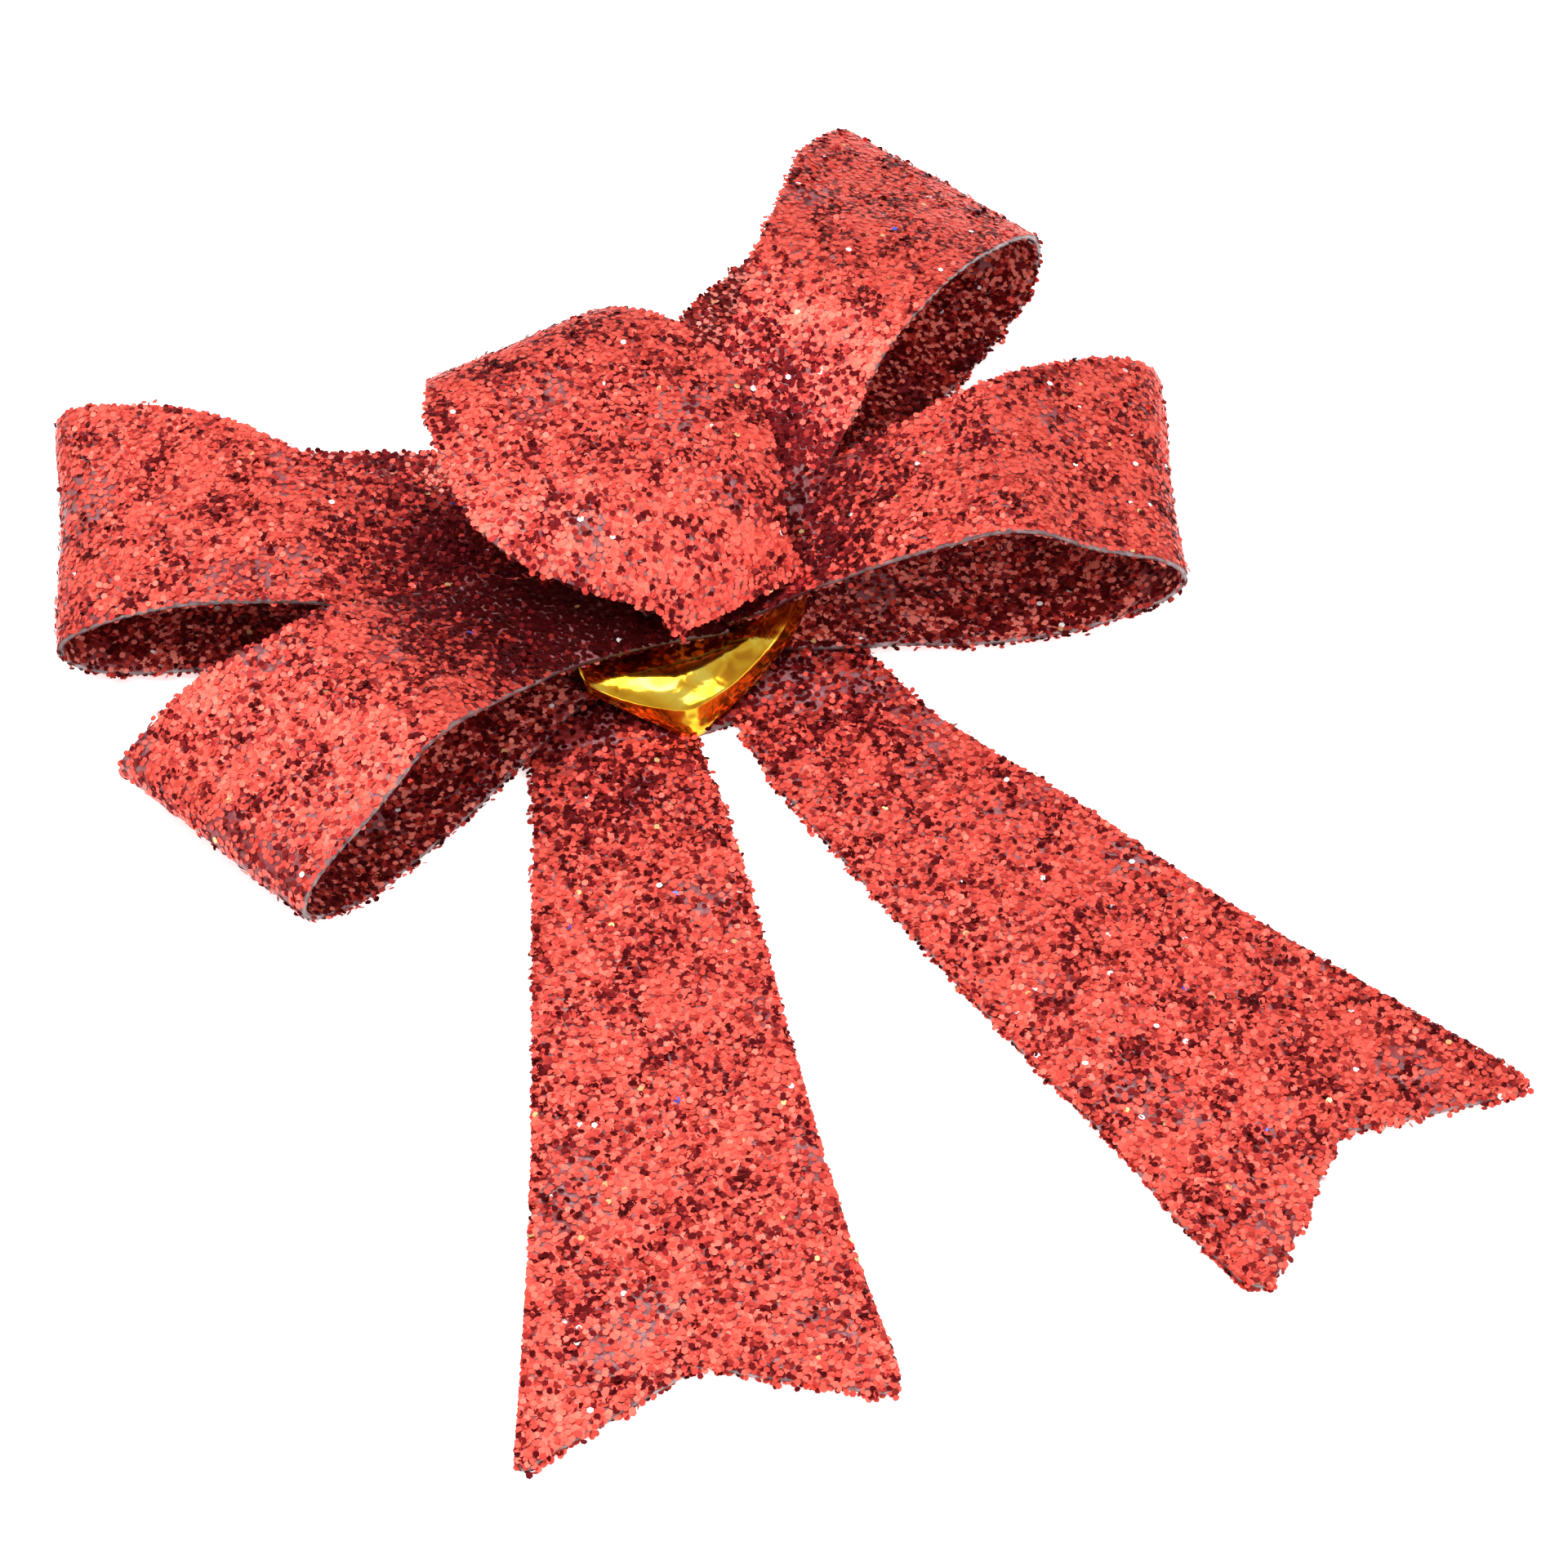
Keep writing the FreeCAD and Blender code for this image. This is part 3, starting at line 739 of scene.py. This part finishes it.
def knot_row(v, left, right, z, bow=0.0):
    """A row of the knot at v along it, from left to right, bowed up in its middle."""
    cu, cv = math.cos(TURN), math.sin(TURN)
    a = (cu * left - cv * v, cv * left + cu * v, z)
    b = (cu * right - cv * v, cv * right + cu * v, z)
    return (*a, *b, bow)


KNOT = [
    knot_row(-12.0, -4.5, 4.5, KNOT_BASE_Z),
    knot_row(-4.0, -4.5, 4.5, KNOT_BASE_Z),
    knot_row(4.0, -4.5, 4.5, KNOT_BASE_Z + 0.1),
    knot_row(10.5, -7.0, 5.0, KNOT_BASE_Z + 0.9),
    knot_row(14.0, -8.0, 5.0, 9.4),
    knot_row(15.9, -9.0, 5.4, 12.4),
    knot_row(15.4, -9.6, 6.6, 15.6, 0.1),
    knot_row(13.6, -10.7, 8.2, 17.3, 0.3),
    knot_row(10.1, -12.9, 10.6, 17.9, 0.7),
    knot_row(5.4, -14.2, 12.4, 17.6, 0.9),
    knot_row(0.5, -15.2, 13.1, 16.9, 1.2),
    knot_row(-4.6, -15.0, 12.5, 16.2, 1.4),
    knot_row(-8.6, -12.9, 11.2, 14.8, 1.4),
    knot_row(-12.4, -9.0, 9.4, 13.0, 1.2),
    knot_row(-14.9, -5.1, 8.6, 11.0, 0.7),
    knot_row(-16.4, -4.4, 9.6, 8.7, 0.2),
]
knot = wavy(ruled(KNOT, KNOT_ACROSS, domed=True), KNOT_DENT)

# ---------- the gold tie ----------
across = [-1.0, -0.72, -0.45, -0.18, 0.1, 0.38, 0.64, 0.85, 1.0]
TIE_ACROSS = 48
EASE = 0.35             # how much a station's neighbours bend the film at it


def tie_row(half, y, z, middle=0.0):
    """A straight row of the tie."""
    return [(middle + half * t, y, z) for t in across]


# From over the waist, over the crease at the front, down through the slot between
# the tails, back along the table, and up behind the bow to its start.
TIE = [
    tie_row(9.6, -5.0, TIE_Z),
    [
        (-9.4, -10.0, 4.75), (-6.6, -11.8, 4.8), (-4.2, -12.8, 4.8), (-1.4, -13.4, 4.8), (1.6, -13.3, 4.8),
        (4.8, -12.4, 4.8), (7.7, -10.8, 4.8), (10.2, -9.0, 4.8), (11.4, -7.6, 4.7),
    ],
    [
        (-9.6, -13.4, 4.7), (-6.8, -15.6, 4.85), (-4.4, -17.2, 4.9), (-1.6, -18.2, 4.95), (1.6, -17.8, 5.0),
        (5.0, -16.4, 5.0), (8.2, -14.2, 4.95), (10.6, -12.0, 4.85), (12.0, -10.4, 4.7),
    ],
    [
        (-9.6, -14.8, 4.1), (-7.4, -17.2, 3.9), (-5.2, -19.0, 3.75), (-2.2, -20.3, 3.7), (1.2, -20.0, 3.8),
        (4.6, -18.6, 4.0), (7.6, -16.7, 4.15), (10.6, -14.3, 4.35), (12.2, -12.0, 4.4),
    ],
    [
        (-9.4, -15.0, 3.5), (-7.4, -17.4, 3.2), (-5.2, -19.3, 3.0), (-2.3, -20.8, 2.8), (1.2, -20.3, 3.0),
        (4.7, -18.8, 3.2), (7.8, -16.9, 3.5), (10.9, -14.4, 3.8), (12.5, -12.2, 3.95),
    ],
    [
        (-9.3, -15.1, 2.9), (-7.3, -17.2, 2.2), (-5.2, -19.4, 1.5), (-2.4, -21.7, 0.75), (0.7, -20.8, 1.1),
        (4.5, -19.1, 1.5), (7.9, -17.1, 1.9), (10.9, -14.9, 2.5), (12.7, -12.6, 3.2),
    ],
    [
        (-8.6, -13.4, 2.7), (-6.0, -15.9, 1.9), (-3.6, -18.5, 1.2), (-1.9, -20.9, 0.7), (-0.7, -19.8, 1.0),
        (2.5, -17.8, 1.3), (5.5, -15.9, 1.6), (8.6, -13.4, 2.2), (11.0, -11.0, 2.9),
    ],
    tie_row(1.2, -20.4, 0.4, -0.7),
    tie_row(1.4, -19.6, 0.12, -0.7),
    tie_row(4.0, -14.0, 0.08),
    tie_row(5.0, 0.0, 0.08),
    tie_row(5.0, 15.2, 0.08),
    tie_row(5.0, 16.2, 0.6),
    tie_row(5.0, 16.3, 2.6),
    tie_row(5.0, 14.0, 4.2),
    tie_row(5.4, 10.0, TIE_Z),
    tie_row(9.2, -1.0, TIE_Z),
]
# Rows of the mesh between each station and the next
TIE_STEPS = [4, 3, 3, 3, 3, 3, 4, 3, 6, 8, 8, 3, 3, 3, 4, 6]


def tie_grid():
    """The tie's rows made smooth across; each station keeps its row, so its crease stays sharp."""
    rows = [resample(smooth(row, FINE_STEP), TIE_ACROSS) for row in TIE]
    grid = []
    for i in range(len(rows) - 1):
        before_row = rows[max(i - 1, 0)]
        after_row = rows[min(i + 2, len(rows) - 1)]
        for k in range(TIE_STEPS[i]):
            t = k / TIE_STEPS[i]
            m0, m1 = EASE * (rows[i + 1] - before_row), EASE * (after_row - rows[i])
            grid.append(
                (1 + 2 * t) * (1 - t) ** 2 * rows[i]
                + t * (1 - t) ** 2 * m0
                + t * t * (3 - 2 * t) * rows[i + 1]
                + t * t * (t - 1) * m1
            )
    grid.append(rows[-1])
    return np.array(grid)


tie = tie_grid()

# ---------- objects ----------
BASE_PITCH, INNER_PITCH = PITCH * 1.15, PITCH * 1.08
HIDDEN_PITCH, KNOT_INNER_PITCH = PITCH * 1.3, PITCH * 1.1
# How much darker a face's flakes are coloured: painted shade on the loops' base layers, the waist under the
# loops and the tails' undersides; the tails and the knot are a little darker all over
BASE_PAINTED_SHADE, TAIL_DARK, WAIST_PAINTED_SHADE, UNDER_PAINTED_SHADE, KNOT_DARK = 0.15, 0.04, 0.3, 0.1, 0.06
# Rims: the edge (0, -1, or 2 for the last row) and how ragged it is
FULL_RIM = [(0, 1.0), (-1, 1.0), (2, 1.0)]
FAR_RIM = [(-1, 0.7)]
BASE_RIM = [(0, 0.8), (-1, 0.8)]
KNOT_RIM = [(0, 0.25), (-1, 0.08), (2, 0.2)]
LOOP_SHADE, TAIL_SHADE = (0.92, 25.0), (0.32, 33.0)  # strength and radius
pieces = {}


def strip_piece(name, grid, node_name, fold_rows):
    """A loop strip with its flakes; the outside is coated by layer, the inside at once."""
    first, last = fold_rows
    ob = sheet_object(name, [grid], SHEET, [PVC, CUT])
    right_top, base, left_top = grid[: first + 1], grid[first : last + 1], grid[last:]
    outer = coat(
        name + "_flakes_outside",
        [
            (right_top, 1, OPEN, 0.0, PITCH, FAR_RIM),
            (left_top, 1, OPEN, 0.0, PITCH, FAR_RIM),
            (base, 1, OPEN, BASE_PAINTED_SHADE, BASE_PITCH, BASE_RIM),
        ],
        FLAKES,
        LOOP_SHADE,
    )
    inner = coat(
        name + "_flakes_inside",
        [(grid, -1, SHADED, 0.0, INNER_PITCH, [])],
        INNER_FLAKES,
    )
    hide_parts(node_name)
    pieces[name] = (ob, outer + inner)
    return ob


def fold_rows(grid):
    """The rows of a strip's right-hand and left-hand folds."""
    middle = grid[:, grid.shape[1] // 2, 0]
    return int(middle.argmax()), int(middle.argmin())


under_ob = strip_piece("under_strip_ribbon", under, "under_loop_strip", fold_rows(under))
over_ob = strip_piece("over_strip_ribbon", over, "over_loop_strip", fold_rows(over))

tails_ob = sheet_object("tails_ribbon", [right_tail, left_tail, waist], SHEET, [PVC, CUT])
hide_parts("tail_piece")
pieces["tails_ribbon"] = (
    tails_ob,
    coat(
        "tails_ribbon_flakes_top",
        [
            (right_tail, 1, OPEN, TAIL_DARK, PITCH, FULL_RIM),
            (left_tail, 1, OPEN, TAIL_DARK, PITCH, FULL_RIM),
            (waist, 1, OPEN, WAIST_PAINTED_SHADE, HIDDEN_PITCH, []),
        ],
        FLAKES,
        TAIL_SHADE,
    )
    + coat(
        "tails_ribbon_flakes_under",
        [
            (right_tail, -1, OPEN, UNDER_PAINTED_SHADE, BASE_PITCH, []),
            (left_tail, -1, OPEN, UNDER_PAINTED_SHADE, BASE_PITCH, []),
            (waist, -1, OPEN, UNDER_PAINTED_SHADE, HIDDEN_PITCH, []),
        ],
        FLAKES,
    ),
)

knot_ob = sheet_object("knot_ribbon", [knot], SHEET, [PVC, CUT])
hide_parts("knot_petal")
pieces["knot_ribbon"] = (
    knot_ob,
    coat("knot_ribbon_flakes_outside", [(knot, 1, OPEN, KNOT_DARK, PITCH, KNOT_RIM)], FLAKES)
    + coat("knot_ribbon_flakes_inside", [(knot, -1, SHADED, 0.0, KNOT_INNER_PITCH, [])], INNER_FLAKES),
)

tie_ob = sheet_object("gold_tie_film", [tie], FILM, [GOLD, GOLD])
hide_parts("gold_tie")

for ob, flakes in pieces.values():
    for o in [ob] + flakes:
        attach(o, "root")
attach(tie_ob, "root")
for name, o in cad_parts.items():
    if name.startswith("glue_"):
        o.data.materials.clear()
        o.data.materials.append(GLUE)

# ---------- floor, light and camera ----------
FLOOR_HALF, FLOOR_Z = 6.0, -0.00005
FLOOR_GLOW = 0.6        # keeps the pale floor from turning grey around the bow
WORLD_LIGHT = 0.60
KEY = ((-0.14, 0.04, 0.54), 0.40, 2.9)   # place, side in metres, watts
FILL = ((0.16, -0.46, 0.42), 0.40, 1.6)
LIT = (0, -0.02, 0)     # the lights face this point
LENS, SENSOR, NEAR, FAR = 76.61, 36.0, 0.01, 50.0
AZIMUTH, ELEVATION, DISTANCE = math.radians(-25), math.radians(50), 0.286
TARGET = (0.00267, -0.0292, 0.0)

floor_mat, nt, p = new_material("pale_floor")
coord = nt.nodes.new("ShaderNodeTexCoord")
grain = node(nt, "ShaderNodeTexNoise", Scale=40.0, Detail=2.0)
nt.links.new(coord.outputs["Object"], grain.inputs["Vector"])
tone = ramp(nt, grain.outputs["Fac"], [(0.0, (0.93, 0.93, 0.93)), (1.0, (0.96, 0.96, 0.96))])
nt.links.new(tone.outputs["Color"], p.inputs["Base Color"])
p.inputs["Roughness"].default_value = 0.9
p.inputs["Specular IOR Level"].default_value = 0.1
p.inputs["Emission Color"].default_value = (1, 1, 1, 1)
p.inputs["Emission Strength"].default_value = FLOOR_GLOW
corners = [(-1, -1), (1, -1), (1, 1), (-1, 1)]
floor_verts = np.array([(x * FLOOR_HALF, y * FLOOR_HALF, FLOOR_Z) for x, y in corners])
floor = mesh_object("floor", floor_verts, [[0, 1, 2, 3]], [floor_mat])

world = bpy.data.worlds.new("studio")
bpy.context.scene.world = world
world.use_nodes = True
world.node_tree.nodes["Background"].inputs["Color"].default_value = (1, 1, 1, 1)
world.node_tree.nodes["Background"].inputs["Strength"].default_value = WORLD_LIGHT


def softbox(name, place, size, watts):
    """A square area light that faces the bow."""
    data = bpy.data.lights.new(name, "AREA")
    data.shape = "SQUARE"
    data.size = size
    data.energy = watts
    ob = bpy.data.objects.new(name, data)
    ob.location = place
    ob.rotation_mode = "QUATERNION"
    ob.rotation_quaternion = (Vector(LIT) - Vector(place)).to_track_quat("-Z", "Y")
    bpy.context.scene.collection.objects.link(ob)


softbox("key", *KEY)
softbox("fill", *FILL)

cam_data = bpy.data.cameras.new("camera")
cam_data.lens = LENS
cam_data.sensor_width = SENSOR
cam_data.clip_start, cam_data.clip_end = NEAR, FAR
cam = bpy.data.objects.new("camera", cam_data)
bpy.context.scene.collection.objects.link(cam)
level = math.cos(ELEVATION)
back = Vector((math.sin(AZIMUTH) * level, -math.cos(AZIMUTH) * level, math.sin(ELEVATION)))
cam.location = Vector(TARGET) + back * DISTANCE
cam.rotation_mode = "QUATERNION"
cam.rotation_quaternion = (-back).to_track_quat("-Z", "Y")
bpy.context.scene.camera = cam
bpy.context.scene.view_settings.view_transform = "Standard"
